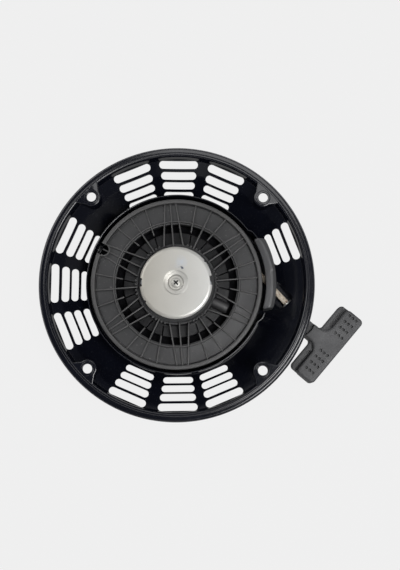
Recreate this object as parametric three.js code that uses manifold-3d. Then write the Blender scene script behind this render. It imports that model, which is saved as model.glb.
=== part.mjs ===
// Recoil (pull) starter for a small engine, seen from its engine side: a vented sheet-metal case with a
// rope reel, a return spring, two ratchet pawls under a pressed guide, and a T handle on the rope.
// Millimetres, +Z towards the engine. The origin is on the reel's axis, on the case's flat outer face.
import * as THREE from "three";
import { mergeVertices } from "three/addons/utils/BufferGeometryUtils.js";
import Module from "manifold-3d";

const wasm = await Module();
wasm.setup();

// ---- driving dimensions -------------------------------------------------------------------------
const GAP = 0.3; // clearance kept between touching pieces
const SHEET = 1.5; // thickness of the case's steel sheet

const CASE_R = 113.4; // outer radius of the rolled rim
const FLANGE_Z = 46; // height of the flange's mounting face
const FLANGE_IN_R = 106.1; // where the flat flange begins
const FLANGE_OUT_R = 108.6; // where the flat flange ends and the rim rolls over
const BOWL_IN_R = 75.5; // foot of the slotted cone
const BOWL_IN_Z = 15.6;
const BOWL_OUT_R = 105; // top of the slotted cone
const BOWL_OUT_Z = 37.3;
const PLATEAU_R = 58; // radius of the flat outer face
const FLOOR_Z = 15.2; // narrow inner floor between the spring well and the cone
const HOLE_SPACING = 142; // bolt holes on a square
const HOLE_R = 3.9;
const LOBE_R = 7.5; // flat lobe round each bolt hole

const SLOT_ROWS = [
  { r: 101.1, length: 32.6, width: 6 },
  { r: 93.1, length: 29.7, width: 5.9 },
  { r: 85.8, length: 27.3, width: 5.5 },
  { r: 78.6, length: 25, width: 5.2 },
];
const SLOT_GROUPS_DEG = [66.5, 89.7, 112.3, 156.4, 180, 203.2, 247.3, 271.3, 293.5];
const SHORT_GROUP_DEG = 21.4; // three rows only: the rope guide stands where the fourth would be

const REEL_R = 70.9;
const REEL_LOW_Z = 16.7;
const REEL_TOP_Z = 39;
const GROOVE_LOW_Z = 18.5;
const GROOVE_TOP_Z = 32.5;
const DRUM_R = 51.9; // bottom of the rope groove
const BAND_Z = 35.5; // floor of the ribbed band
const RIB_TOP_Z = 37.6;
const RECESS_Z = 30; // floor of the reel's recess round the hub
const TROUGH_IN_R = 44; // deeper trough round the recess
const TROUGH_Z = 24;
const DRUM_LOW_Z = 4.5; // lower edge of the drum that holds the return spring
const DRUM_SKIRT_R = 43.6;
const SPRING_ROOM_R = 41;
const SPRING_ROOM_Z = 24;
const HUB_WALL_IN_R = 31.4;
const HUB_WALL_R = 34;
const HUB_TOP_Z = 35.2;
const HUB_FLOOR_Z = 34;
const HUB_BORE_R = 10.8;
const MID_RING_R = 52.8; // standing ring between the ribbed band and the recess
const RIM_LIP = 3.3; // width of the reel's raised rim
const RIB_THICK = 1.1;
const RIB_STEP_DEG = 60; // the rib pattern repeats six times
const MAIN_RIB_DEG = 5;
const MID_RIB_DEG = 35;
const KNOT_DEG = -25;
const KNOT_R = 42;
const NOTCH_DEG = 155.3;

const POST_R = 9;
const POST_TOP_Z = 40;
const NECK_R = 6;
const NECK_TOP_Z = 43;

const GUIDE_R = 29.8; // ratchet guide, the round metal cover
const GUIDE_TOP_Z = 47;
const PAWL_PIVOT = new THREE.Vector2(18.5, 9.5);
const PAWL_DIR_DEG = -52.8; // the way a resting pawl points from its pivot
const PAWL_LOW_Z = 39.4;
const PAWL_TOP_Z = 43.6;

const ROPE_R = 2.7;
const ROPE_Z = 23;
const ROPE_DEG = -47; // direction in which the rope leaves
const ROPE_OFFSET = 57.5; // distance of the rope's line from the reel's axis
const WOUND_R = 60.3; // outside of the wound rope
const OUTLET_S = 74; // outlet wall, measured along the rope's line
const OUTLET_HALF = 7;
const OUTLET_FLOOR_Z = 17;

const RING_R = 74; // guard ring round the reel
const RING_THICK = 1;
const RING_TOP_Z = 40;
const RING_FROM_DEG = 37.5;
const RING_TO_DEG = 335.5;

const ARC_IN_R = 73.8; // rope guide
const ARC_OUT_R = 82.6;

const HANDLE_X = 123.8; // centre of the handle's bar
const HANDLE_Y = -48.3;
const HANDLE_Z = 24.5;
const HANDLE_DEG = -39.7; // the way the handle faces
const BAR_LENGTH = 66.5;
const BAR_HALF_THICK = 11.75;
const PLATE_HALF_Z = 10.5;
const CORE_HALF_Z = 6;
const STEM_HALF = 6.2;
const STEM_TIP = -28;

const rad = THREE.MathUtils.degToRad;

// ---- helpers ------------------------------------------------------------------------------------
function solidOf(geometry) {
  const bare = new THREE.BufferGeometry();
  bare.setAttribute("position", geometry.getAttribute("position"));
  if (geometry.index) bare.setIndex(geometry.index);
  const merged = mergeVertices(bare, 1e-4);
  const vertProperties = new Float32Array(merged.attributes.position.array);
  const kept = [];
  const index = merged.index.array;
  for (let i = 0; i < index.length; i += 3) {
    const [a, b, c] = [index[i], index[i + 1], index[i + 2]];
    if (a !== b && b !== c && a !== c) kept.push(a, b, c);
  }
  const made = new wasm.Manifold(
    new wasm.Mesh({ numProp: 3, vertProperties, triVerts: new Uint32Array(kept) }),
  );
  if (made.volume() >= 0) return made;
  for (let i = 0; i < kept.length; i += 3) [kept[i + 1], kept[i + 2]] = [kept[i + 2], kept[i + 1]];
  return new wasm.Manifold(
    new wasm.Mesh({ numProp: 3, vertProperties, triVerts: new Uint32Array(kept) }),
  );
}

function geometryOf(solid) {
  const mesh = solid.getMesh();
  const geometry = new THREE.BufferGeometry();
  geometry.setAttribute("position", new THREE.BufferAttribute(mesh.vertProperties, 3));
  geometry.setIndex(new THREE.BufferAttribute(mesh.triVerts, 1));
  geometry.computeVertexNormals();
  return geometry;
}

const joined = (solids) => solids.reduce((all, one) => all.add(one));

// A closed [r, z] profile turned about +Z.
function turned(profile, segments) {
  const points = profile.map(([r, z]) => new THREE.Vector2(r, z));
  if (profile[0][0] > 0) points.push(points[0].clone());
  return new THREE.LatheGeometry(points, segments).rotateX(Math.PI / 2);
}

// A closed outline in X and Y between two heights.
function prism(outline, lowZ, highZ) {
  const shape = new THREE.Shape(outline.map(([x, y]) => new THREE.Vector2(x, y)));
  const made = new THREE.ExtrudeGeometry(shape, { depth: highZ - lowZ, bevelEnabled: false });
  return made.translate(0, 0, lowZ);
}

function cylinder(radius, lowZ, highZ, segments = 24) {
  return turned([[0, lowZ], [radius, lowZ], [radius, highZ], [0, highZ]], segments);
}

function tube(points, radius, sides, steps) {
  const circle = new THREE.Shape();
  circle.absarc(0, 0, radius, 0, 2 * Math.PI);
  const path = new THREE.CatmullRomCurve3(points);
  const section = new THREE.Shape(circle.getSpacedPoints(sides).slice(0, sides));
  return new THREE.ExtrudeGeometry(section, { steps, extrudePath: path, bevelEnabled: false });
}

const polar = (r, deg) => [r * Math.cos(rad(deg)), r * Math.sin(rad(deg))];

// Points of an arc about a centre, from one angle to another.
function arc(radius, fromDeg, toDeg, steps, centre = [0, 0]) {
  const points = [];
  for (let i = 0; i <= steps; i += 1) {
    const [x, y] = polar(radius, fromDeg + ((toDeg - fromDeg) * i) / steps);
    points.push([centre[0] + x, centre[1] + y]);
  }
  return points;
}

// A strip of even thickness along a line of points.
function strip(line, thickness) {
  const left = [];
  const right = [];
  line.forEach(([x, y], i) => {
    const before = line[Math.max(i - 1, 0)];
    const after = line[Math.min(i + 1, line.length - 1)];
    const length = Math.hypot(after[0] - before[0], after[1] - before[1]);
    const nx = (-(after[1] - before[1]) / length) * (thickness / 2);
    const ny = ((after[0] - before[0]) / length) * (thickness / 2);
    left.push([x + nx, y + ny]);
    right.push([x - nx, y - ny]);
  });
  return [...left, ...right.reverse()];
}

// A point given along and across the rope's line, in the object's X and Y.
function ropePoint(along, across) {
  const [dx, dy] = polar(1, ROPE_DEG);
  return [dx * along - dy * across, dy * along + dx * across];
}

function stadium(length, width, deg, radius) {
  const half = (length - width) / 2;
  const outline = [
    ...arc(width / 2, 0, 180, 3, [0, half]),
    ...arc(width / 2, 180, 360, 3, [0, -half]),
  ];
  return prism(outline, -5, FLANGE_Z + 5).translate(radius, 0, 0).rotateZ(rad(deg));
}

// ---- materials ----------------------------------------------------------------------------------
const material = (color, roughness, metalness) =>
  new THREE.MeshStandardMaterial({ color, roughness, metalness });
const blackPaint = () => material(0x0b0c10, 0.25, 0.1);
const reelPlastic = () => material(0x3c3d3e, 0.6, 0);
const guidePlastic = () => material(0x56585a, 0.55, 0);
const handlePlastic = () => material(0x4a4a49, 0.6, 0);
const zincPlate = () => material(0xc9c7c0, 0.35, 0.9);
const springSteel = () => material(0x6d7077, 0.35, 1);
const turnedSteel = () => material(0x8d9096, 0.4, 1);
const ropeCord = () => material(0xd8cdb8, 0.9, 0);

const group = new THREE.Group();
group.name = "recoil_starter";

function place(name, geometry, finish) {
  const mesh = new THREE.Mesh(geometry, finish);
  mesh.name = name;
  group.add(mesh);
}

// ---- case ---------------------------------------------------------------------------------------
const coneSlope = (BOWL_OUT_Z - BOWL_IN_Z) / (BOWL_OUT_R - BOWL_IN_R);

// Inner face of the sheet, from the axis to the rolled rim.
const innerFace = [
  [0, SHEET],
  [PLATEAU_R - 1, SHEET],
  [PLATEAU_R + 2, SHEET + 2.5],
  [PLATEAU_R + 4.5, FLOOR_Z - 1.7],
  [PLATEAU_R + 8, FLOOR_Z],
  [72, FLOOR_Z],
  [BOWL_IN_R, BOWL_IN_Z],
  [BOWL_OUT_R, BOWL_OUT_Z],
  [BOWL_OUT_R + 0.5, FLANGE_Z - 1],
  [FLANGE_IN_R, FLANGE_Z],
];

function sheetProfile() {
  const lean = Math.hypot(1, coneSlope);
  const sideways = (SHEET * coneSlope) / lean;
  const down = SHEET / lean;
  return [
    ...innerFace,
    [FLANGE_OUT_R, FLANGE_Z],
    [111.8, FLANGE_Z - 0.7],
    [113, FLANGE_Z - 1.8],
    [CASE_R, FLANGE_Z - 3.6],
    [CASE_R, FLANGE_Z - 5.5],
    [CASE_R - SHEET, FLANGE_Z - 5.5],
    [111.3, FLANGE_Z - 3],
    [110.4, FLANGE_Z - 1.9],
    [FLANGE_OUT_R - 0.3, FLANGE_Z - SHEET],
    [107, FLANGE_Z - SHEET],
    [BOWL_OUT_R + 1.7, BOWL_OUT_Z - 0.4],
    [BOWL_OUT_R + sideways, BOWL_OUT_Z - down],
    [BOWL_IN_R + sideways, BOWL_IN_Z - down],
    [72, FLOOR_Z - SHEET],
    [PLATEAU_R + 8.6, FLOOR_Z - SHEET],
    [PLATEAU_R + 6.1, FLOOR_Z - SHEET - 0.9],
    [PLATEAU_R + 3.5, SHEET + 2.1],
    [PLATEAU_R + 0.2, 0],
    [0, 0],
  ];
}

// The flat lobe round one bolt hole, flaring back into the flange.
function lobeOutline(inset) {
  const holeR = (HOLE_SPACING / 2) * Math.SQRT2;
  const lobe = arc(LOBE_R - inset, 100, 260, 8, [holeR, 0]);
  const flare = 13 - inset;
  return [[holeR + 7, flare], [holeR + 4, flare - 3], ...lobe, [holeR + 4, 3 - flare], [holeR + 7, -flare]];
}

function outletOutline(grow) {
  const corners = [[45, 1], [OUTLET_S + grow, 1], [OUTLET_S + grow, -1], [58, -1]];
  return corners.map(([along, side]) => ropePoint(along, ROPE_OFFSET + side * (OUTLET_HALF + grow)));
}

function caseCover() {
  const segments = 60;
  let made = solidOf(turned(sheetProfile(), segments));
  const belowInner = solidOf(turned([...innerFace, [FLANGE_IN_R, -5], [0, -5]], segments));
  const outletOuter = solidOf(prism(outletOutline(SHEET), OUTLET_FLOOR_Z - SHEET, FLANGE_Z));
  const outletInner = solidOf(prism(outletOutline(0), OUTLET_FLOOR_Z, FLANGE_Z + 5));
  made = made.add(outletOuter.intersect(belowInner)).subtract(outletInner);

  const aboveCone = turned(
    [[60, BOWL_IN_Z], [BOWL_IN_R, BOWL_IN_Z - 0.6], [BOWL_OUT_R, BOWL_OUT_Z - 0.6],
      [FLANGE_IN_R + 0.4, FLANGE_Z - 0.6], [FLANGE_IN_R + 0.4, FLANGE_Z], [60, FLANGE_Z]], segments);
  const ceiling = solidOf(aboveCone);
  for (const deg of [45, 135, 225, 315]) {
    const outer = solidOf(prism(lobeOutline(0), 0, FLANGE_Z).rotateZ(rad(deg)));
    const inner = solidOf(prism(lobeOutline(SHEET), -5, FLANGE_Z - SHEET).rotateZ(rad(deg)));
    const keepIn = solidOf(cylinder(FLANGE_IN_R + 1.4, -6, FLANGE_Z, segments));
    made = made.add(outer.intersect(ceiling)).subtract(inner.intersect(keepIn));
  }
  const cuts = [];
  for (const [sx, sy] of [[1, 1], [-1, 1], [-1, -1], [1, -1]]) {
    const hole = cylinder(HOLE_R, FLANGE_Z - 5, FLANGE_Z + 5, 16);
    cuts.push(solidOf(hole.translate((sx * HOLE_SPACING) / 2, (sy * HOLE_SPACING) / 2, 0)));
  }
  for (const row of SLOT_ROWS) {
    const short = row === SLOT_ROWS[SLOT_ROWS.length - 1] ? [] : [SHORT_GROUP_DEG];
    for (const deg of [...SLOT_GROUPS_DEG, ...short]) {
      cuts.push(solidOf(stadium(row.length, row.width, deg, row.r)));
    }
  }
  const [ex, ey] = ropePoint(OUTLET_S, ROPE_OFFSET);
  const bore = cylinder(4.2, -4, 4, 16).rotateY(Math.PI / 2).rotateZ(rad(ROPE_DEG));
  cuts.push(solidOf(bore.translate(ex, ey, ROPE_Z)));
  return geometryOf(made.subtract(joined(cuts)));
}

// The space filled by the cone and the floor under it, with a small gap, for trimming what stands on it.
function coneGround() {
  const outer = 90;
  const lift = 0.5;
  const outerZ = BOWL_IN_Z + (outer - BOWL_IN_R) * coneSlope;
  return solidOf(turned([
    [60, -5], [60, BOWL_IN_Z], [BOWL_IN_R, BOWL_IN_Z + lift], [outer, outerZ + lift], [outer, -5],
  ], 72));
}

// The standing ring round the reel, with outward ends that hold the rope guide, and its welded foot.
function guardRing() {
  const low = FLOOR_Z + GAP + 0.4;
  const line = [
    polar(76.5, 31.8),
    polar(76.3, 34.8),
    ...arc(RING_R, RING_FROM_DEG, RING_TO_DEG, 48),
    polar(76.3, RING_TO_DEG + 2.7),
    polar(76.5, RING_TO_DEG + 6.5),
  ];
  const wall = solidOf(prism(strip(line, RING_THICK), low, RING_TOP_Z));
  const footLine = arc(RING_R - 1.1, RING_FROM_DEG, RING_TO_DEG, 48);
  const foot = solidOf(prism(strip(footLine, 3), low, low + 1));
  return geometryOf(wall.add(foot).subtract(coneGround()));
}

function ropeEyelet() {
  const s = OUTLET_S;
  const barrel = 3.9;
  const lip = 4.8;
  const profile = [
    [3.1, s - GAP - 1.1], [lip, s - GAP - 1.1], [lip, s - GAP], [barrel, s - GAP],
    [barrel, s + SHEET + GAP], [lip, s + SHEET + GAP], [lip, s + SHEET + GAP + 1.1],
    [3.1, s + SHEET + GAP + 1.1],
  ];
  const [ox, oy] = ropePoint(0, ROPE_OFFSET);
  const made = turned(profile, 20).rotateY(Math.PI / 2).rotateZ(rad(ROPE_DEG));
  return made.translate(ox, oy, ROPE_Z);
}

// The arched plastic guide that bridges the rope, standing on two feet on the cone.
function ropeGuide() {
  const innerArc = arc(ARC_IN_R, 30.6, -15.8, 12);
  const outerArc = arc(ARC_OUT_R, -13.3, 27.8, 12);
  const block = solidOf(prism([...innerArc, ...outerArc], FLOOR_Z, RING_TOP_Z + 2));
  const ridge = [
    [70, 0], [70, RING_TOP_Z - 2.4], [77.6, RING_TOP_Z + 0.4], [79.2, RING_TOP_Z + 0.2],
    [86, RING_TOP_Z - 2.8], [86, 0],
  ];
  const roof = solidOf(turned(ridge, 72));
  const span = [...arc(70, 22, -8.5, 8), ...arc(86, -8.5, 22, 8)];
  const archWay = solidOf(prism(span, 0, ROPE_Z + 5.5));
  return geometryOf(block.intersect(roof).subtract(coneGround()).subtract(archWay));
}

// ---- post, washers and screw --------------------------------------------------------------------
function postPlate() {
  const low = SHEET + GAP;
  return turned([[POST_R + GAP, low], [22, low], [22, low + 1.2], [POST_R + GAP, low + 1.2]], 36);
}

function centrePost() {
  const low = SHEET + GAP;
  const bore = 2.7;
  return turned([
    [0, low], [POST_R, low], [POST_R, POST_TOP_Z], [NECK_R, POST_TOP_Z], [NECK_R, NECK_TOP_Z],
    [bore, NECK_TOP_Z], [bore, POST_TOP_Z - 11], [0, POST_TOP_Z - 11],
  ], 24);
}

function thrustWasher() {
  const low = POST_TOP_Z + GAP;
  return turned([[NECK_R + GAP, low], [13, low], [13, low + 1], [NECK_R + GAP, low + 1]], 28);
}

function centreScrew() {
  const seat = GUIDE_TOP_Z - 2;
  const body = solidOf(turned([
    [0, POST_TOP_Z - 9], [2.3, POST_TOP_Z - 9], [2.3, seat], [3.6, seat], [3.6, seat + 1.2], [2.6, seat + 2.2],
    [0, seat + 2.5],
  ], 20));
  const arm = () => new THREE.BoxGeometry(4, 0.9, 2).translate(0, 0, seat + 2.6);
  const cross = solidOf(arm()).add(solidOf(arm().rotateZ(Math.PI / 2)));
  return geometryOf(body.subtract(cross));
}

// ---- reel ---------------------------------------------------------------------------------------
function reelBody() {
  const profile = [
    [HUB_BORE_R, SPRING_ROOM_Z], [SPRING_ROOM_R, SPRING_ROOM_Z], [SPRING_ROOM_R, DRUM_LOW_Z],
    [DRUM_SKIRT_R, DRUM_LOW_Z], [DRUM_SKIRT_R, REEL_LOW_Z], [REEL_R, REEL_LOW_Z], [REEL_R, GROOVE_LOW_Z],
    [DRUM_R, GROOVE_LOW_Z], [DRUM_R, GROOVE_TOP_Z], [REEL_R, GROOVE_TOP_Z],
    [REEL_R, REEL_TOP_Z], [REEL_R - RIM_LIP, REEL_TOP_Z], [REEL_R - RIM_LIP - 0.4, BAND_Z],
    [MID_RING_R, BAND_Z], [MID_RING_R, RIB_TOP_Z + 0.3], [MID_RING_R - 1.1, RIB_TOP_Z + 0.3],
    [MID_RING_R - 1.2, BAND_Z - 0.4], [DRUM_R - 1.6, BAND_Z - 0.5], [DRUM_R - 1.8, TROUGH_Z],
    [TROUGH_IN_R, TROUGH_Z], [TROUGH_IN_R, RECESS_Z], [HUB_WALL_R, RECESS_Z], [HUB_WALL_R, HUB_TOP_Z], [HUB_WALL_IN_R, HUB_TOP_Z],
    [HUB_WALL_IN_R, HUB_FLOOR_Z], [14, HUB_FLOOR_Z], [14, REEL_TOP_Z], [HUB_BORE_R, REEL_TOP_Z],
  ];
  return solidOf(turned(profile, 54));
}

// One straight rib on the ribbed band and, if it starts inside the mid ring, on across the recess. It runs
// from an inner to an outer radius, at a distance to one side of its ray at each end.
function rib(deg, innerR, outerR, sideInner = 0, sideOuter = 0) {
  const half = RIB_THICK / 2;
  const bandR = Math.max(innerR, MID_RING_R - 0.6);
  const sideAt = (r) => sideInner + ((sideOuter - sideInner) * (r - innerR)) / (outerR - innerR);
  const bar = (fromR, toR, lowZ) => {
    const [from, to] = [sideAt(fromR), sideAt(toR)];
    const outline = [[fromR, from - half], [toR, to - half], [toR, to + half], [fromR, from + half]];
    return solidOf(prism(outline, lowZ, RIB_TOP_Z).rotateZ(rad(deg)));
  };
  const onBand = bar(bandR, outerR, BAND_Z - 1);
  if (innerR >= bandR) return onBand;
  return onBand.add(bar(innerR, DRUM_R - 0.1, innerR < HUB_WALL_R ? RECESS_Z - 0.5 : BAND_Z - 3));
}

function reelRibs() {
  const hubEnd = HUB_WALL_IN_R + 0.4;
  const lipEnd = REEL_R - RIM_LIP - 0.1;
  const ribs = [];
  for (let k = 0; k < 6; k += 1) {
    const main = MAIN_RIB_DEG + k * RIB_STEP_DEG;
    const mid = MID_RIB_DEG + k * RIB_STEP_DEG;
    const overKnot = mid - 360 === KNOT_DEG;
    ribs.push(rib(main, hubEnd, lipEnd));
    ribs.push(rib(mid, overKnot ? MID_RING_R - 0.6 : hubEnd, lipEnd));
    for (const side of [-1, 1]) {
      ribs.push(rib(mid, hubEnd, lipEnd, side * 7.9, side * 4.6));
      ribs.push(rib(main, TROUGH_IN_R - 0.2, lipEnd - 0.3, side * 7.5, side * 14.1));
    }
  }
  return joined(ribs);
}

function knotPocket(radius, lowZ, highZ) {
  const [x, y] = polar(KNOT_R, KNOT_DEG);
  return solidOf(cylinder(radius, lowZ, highZ, 16).translate(x, y, 0));
}

// The U-shaped notch in the rim, through which the rope is threaded on to the drum.
function rimNotch(grow, lowZ, highZ) {
  const centre = REEL_R - 3.6;
  const half = 4.6 + grow;
  const outline = [[centre + 12, half], ...arc(half, 90, 270, 8, [centre, 0]), [centre + 12, -half]];
  return solidOf(prism(outline, lowZ, highZ).rotateZ(rad(NOTCH_DEG)));
}

function reel() {
  const rimCylinder = solidOf(cylinder(REEL_R - 0.2, 0, REEL_TOP_Z, 54));
  let made = reelBody().add(reelRibs());
  made = made.add(knotPocket(5, RECESS_Z - 0.5, RIB_TOP_Z - 0.6));
  made = made.subtract(knotPocket(3.6, RECESS_Z + 1, RIB_TOP_Z + 1));
  made = made.add(rimNotch(1.2, GROOVE_TOP_Z, REEL_TOP_Z - 0.3).intersect(rimCylinder));
  made = made.subtract(rimNotch(0, GROOVE_TOP_Z - 1, REEL_TOP_Z + 2));
  for (const side of [1, -1]) {
    const [x, y] = [side * PAWL_PIVOT.x, side * PAWL_PIVOT.y];
    made = made.add(solidOf(cylinder(4, HUB_FLOOR_Z - 0.5, REEL_TOP_Z, 16).translate(x, y, 0)));
    made = made.add(solidOf(cylinder(2, REEL_TOP_Z - 0.5, PAWL_TOP_Z - GAP, 16).translate(x, y, 0)));
  }
  return geometryOf(made);
}

function hubBushing() {
  const inner = POST_R + GAP;
  const outer = HUB_BORE_R - GAP;
  return turned([[inner, SPRING_ROOM_Z], [outer, SPRING_ROOM_Z], [outer, REEL_TOP_Z], [inner, REEL_TOP_Z]], 24);
}

function ropeCoil() {
  const low = GROOVE_LOW_Z + 0.4;
  const high = GROOVE_TOP_Z - 0.4;
  const inner = DRUM_R + 0.4;
  return turned([[inner, low], [WOUND_R, low], [WOUND_R, high], [inner, high]], 54);
}

function ropeKnot() {
  const [x, y] = polar(KNOT_R, KNOT_DEG);
  const low = RECESS_Z + 1 + GAP;
  return turned([[0, low], [2.4, low], [3.2, low + 2], [2.9, low + 3.8], [1.6, low + 4.9], [0, low + 5.2]], 12)
    .translate(x, y, 0);
}

// The flat spiral return spring: close turns against the reel, then a long sweep in to the post.
function returnSpring() {
  const thick = 0.7;
  const line = [];
  const closeTurns = 5;
  const step = 24;
  for (let deg = 0; deg <= closeTurns * 360; deg += step) {
    line.push(polar(40 - (6.5 * deg) / (closeTurns * 360), deg));
  }
  const sweep = 552;
  for (let deg = step; deg <= sweep; deg += step) {
    line.push(polar(33.5 - (23.4 * deg) / sweep, closeTurns * 360 + deg));
  }
  return prism(strip(line, thick), DRUM_LOW_Z + 2, DRUM_LOW_Z + 15);
}

function springRetainer() {
  const low = DRUM_LOW_Z + 0.4;
  const inner = POST_R + 0.6;
  const outer = SPRING_ROOM_R - 0.4;
  return turned([[inner, low], [outer, low], [outer, low + 1], [inner, low + 1]], 36);
}

// ---- ratchet ------------------------------------------------------------------------------------
function pawl(side) {
  const hole = 2.3;
  const outline = [
    ...arc(4.2, 60, 300, 8), [12.5, -3], [15.2, -0.8], [15.2, 1.2], [13.4, 3],
  ];
  const body = solidOf(prism(outline, PAWL_LOW_Z, PAWL_TOP_Z));
  const bored = body.subtract(solidOf(cylinder(hole, PAWL_LOW_Z - 1, PAWL_TOP_Z + 1, 16)));
  const turn = side > 0 ? 0 : 180;
  return geometryOf(bored).rotateZ(rad(PAWL_DIR_DEG + turn))
    .translate(side * PAWL_PIVOT.x, side * PAWL_PIVOT.y, 0);
}

// The torsion spring round a pawl's boss, as the outer shape of its coil, with one leg.
function pawlSpring(side) {
  const low = HUB_FLOOR_Z + 0.8;
  const high = low + 3.6;
  const coil = solidOf(turned([[4.3, low], [5.3, low], [5.3, high], [4.3, high]], 16));
  const leg = solidOf(new THREE.BoxGeometry(12, 0.9, 0.9).translate(6, -4.8, high - 0.6));
  const turn = side > 0 ? 0 : 180;
  return geometryOf(coil.add(leg)).rotateZ(rad(PAWL_DIR_DEG + turn))
    .translate(side * PAWL_PIVOT.x, side * PAWL_PIVOT.y, 0);
}

function lugPlace(side) {
  const along = polar(13, PAWL_DIR_DEG);
  const across = polar(-5, PAWL_DIR_DEG + 90);
  return [side * (PAWL_PIVOT.x + along[0] + across[0]), side * (PAWL_PIVOT.y + along[1] + across[1])];
}

function ratchetGuide() {
  const top = GUIDE_TOP_Z;
  const t = 1.4;
  let made = solidOf(turned([
    [2.8, top - 2.3], [6.8, top - 2.3], [9.6, top], [27.8, top], [29.2, top - 0.5], [GUIDE_R, top - 1.6],
    [GUIDE_R, top - 2.8], [28.5, top - 2.8], [28.4, top - 1.9], [27.5, top - t], [10.1, top - t],
    [7.4, top - 2.3 - t], [2.8, top - 2.3 - t],
  ], 44));
  for (const [from, to] of [[-3, 12], [173, 187]]) {
    const outline = [...arc(28.2, from, to, 4), ...arc(32, to, from, 4)];
    made = made.subtract(solidOf(prism(outline, top - 4, top + 1)));
  }
  for (const side of [1, -1]) {
    const [x, y] = lugPlace(side);
    made = made.add(solidOf(cylinder(1.5, PAWL_LOW_Z + 0.6, top - t + 0.3, 12).translate(x, y, 0)));
  }
  return geometryOf(made);
}

// The wire clip between the ratchet guide and the post, whose drag throws the pawls out.
function frictionSpring() {
  const z = POST_TOP_Z + 2.3;
  const wire = 0.55;
  const points = [polar(11.5, 14), polar(8.6, 20)];
  for (let deg = 40; deg <= 320; deg += 20) points.push(polar(7.4, deg));
  points.push(polar(8.6, 340), polar(11.5, 346));
  return tube(points.map(([x, y]) => new THREE.Vector3(x, y, z)), wire, 5, 30);
}

// ---- rope and handle ----------------------------------------------------------------------------
function ropeRun() {
  const from = 26;
  const to = 80;
  const points = [0, 1, 2, 3].map((i) => {
    const [x, y] = ropePoint(from + ((to - from) * i) / 3, ROPE_OFFSET);
    return new THREE.Vector3(x, y, ROPE_Z);
  });
  return tube(points, ROPE_R, 8, 4);
}

// A point of the handle, along its facing direction and across it.
function handlePoint(along, across) {
  const [dx, dy] = polar(1, HANDLE_DEG);
  return [HANDLE_X + dx * along - dy * across, HANDLE_Y + dy * along + dx * across];
}

function ropeTail() {
  const places = [
    ropePoint(80.4, ROPE_OFFSET), ropePoint(84, ROPE_OFFSET - 0.2), ropePoint(88, ROPE_OFFSET - 1.5),
    handlePoint(STEM_TIP + 1, 0), handlePoint(STEM_TIP + 6, 0), handlePoint(-12, 0), handlePoint(0.5, 0),
  ];
  const heights = [ROPE_Z, ROPE_Z, ROPE_Z + 0.4, HANDLE_Z - 0.1, HANDLE_Z, HANDLE_Z, HANDLE_Z];
  const points = places.map(([x, y], i) => new THREE.Vector3(x, y, heights[i]));
  return tube(points, ROPE_R, 8, 16);
}

function inHandle(geometry) {
  return geometry.rotateZ(rad(HANDLE_DEG)).translate(HANDLE_X, HANDLE_Y, HANDLE_Z);
}

// Outline of the handle in its own frame: X along its facing direction, Y along its bar.
function teeOutline(innerX, fillet, cornerR) {
  const outer = BAR_HALF_THICK;
  const end = BAR_LENGTH / 2;
  const upper = [
    [STEM_TIP, STEM_HALF - 1], [STEM_TIP + 1, STEM_HALF], [innerX - fillet, STEM_HALF],
    [innerX - fillet * 0.29, STEM_HALF + fillet * 0.29], [innerX, STEM_HALF + fillet],
    [innerX, end - cornerR], [innerX + cornerR * 0.29, end - cornerR * 0.29], [innerX + cornerR, end],
    [outer - cornerR, end], [outer - cornerR * 0.29, end - cornerR * 0.29], [outer, end - cornerR],
  ];
  return [...upper, ...upper.map(([x, y]) => [x, -y]).reverse()];
}

function handleGrip() {
  const core = solidOf(prism(teeOutline(-BAR_HALF_THICK, 3.5, 4), -CORE_HALF_Z, CORE_HALF_Z));
  const plates = solidOf(prism(teeOutline(-5.2, 8, 3.5), -PLATE_HALF_Z, PLATE_HALF_Z));
  const stemCut = solidOf(new THREE.BoxGeometry(40, 40, 30).translate(STEM_TIP - 6, 0, CORE_HALF_Z + 15));
  const stemCutLow = solidOf(new THREE.BoxGeometry(40, 40, 30).translate(STEM_TIP - 6, 0, -CORE_HALF_Z - 15));
  const bore = solidOf(cylinder(3.7, STEM_TIP - 1, 3, 16).rotateY(Math.PI / 2));
  const pocket = solidOf(cylinder(5, 1.2, BAR_HALF_THICK + 1, 20).rotateY(Math.PI / 2));
  const shaped = plates.subtract(stemCut).subtract(stemCutLow).add(core);
  return inHandle(geometryOf(shaped.subtract(bore).subtract(pocket)));
}

function handleKnot() {
  const profile = [[0, 1.6], [3.4, 1.6], [4.4, 3.4], [4.3, 6], [2.8, 7.8], [0, 8.4]];
  return inHandle(turned(profile, 12).rotateY(Math.PI / 2));
}

function handlePlug() {
  const outer = BAR_HALF_THICK;
  const profile = [[0, outer - 1.8], [4.6, outer - 1.8], [4.6, outer - 0.3], [0, outer]];
  return inHandle(turned(profile, 20).rotateY(Math.PI / 2));
}

// ---- assembly -----------------------------------------------------------------------------------
place("case_cover", caseCover(), blackPaint());
place("guard_ring", guardRing(), blackPaint());
place("rope_eyelet", ropeEyelet(), zincPlate());
place("rope_guide", ropeGuide(), guidePlastic());
place("post_plate", postPlate(), turnedSteel());
place("centre_post", centrePost(), turnedSteel());
place("thrust_washer", thrustWasher(), turnedSteel());
place("centre_screw", centreScrew(), zincPlate());
place("rope_run", ropeRun(), ropeCord());
place("reel", reel(), reelPlastic());
place("hub_bushing", hubBushing(), turnedSteel());
place("rope_coil", ropeCoil(), ropeCord());
place("rope_knot", ropeKnot(), ropeCord());
place("return_spring", returnSpring(), springSteel());
place("spring_retainer", springRetainer(), springSteel());
place("ratchet_guide", ratchetGuide(), zincPlate());
place("friction_spring", frictionSpring(), springSteel());
place("handle_grip", handleGrip(), handlePlastic());
place("handle_knot", handleKnot(), ropeCord());
place("handle_plug", handlePlug(), handlePlastic());
place("rope_tail", ropeTail(), ropeCord());
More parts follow.
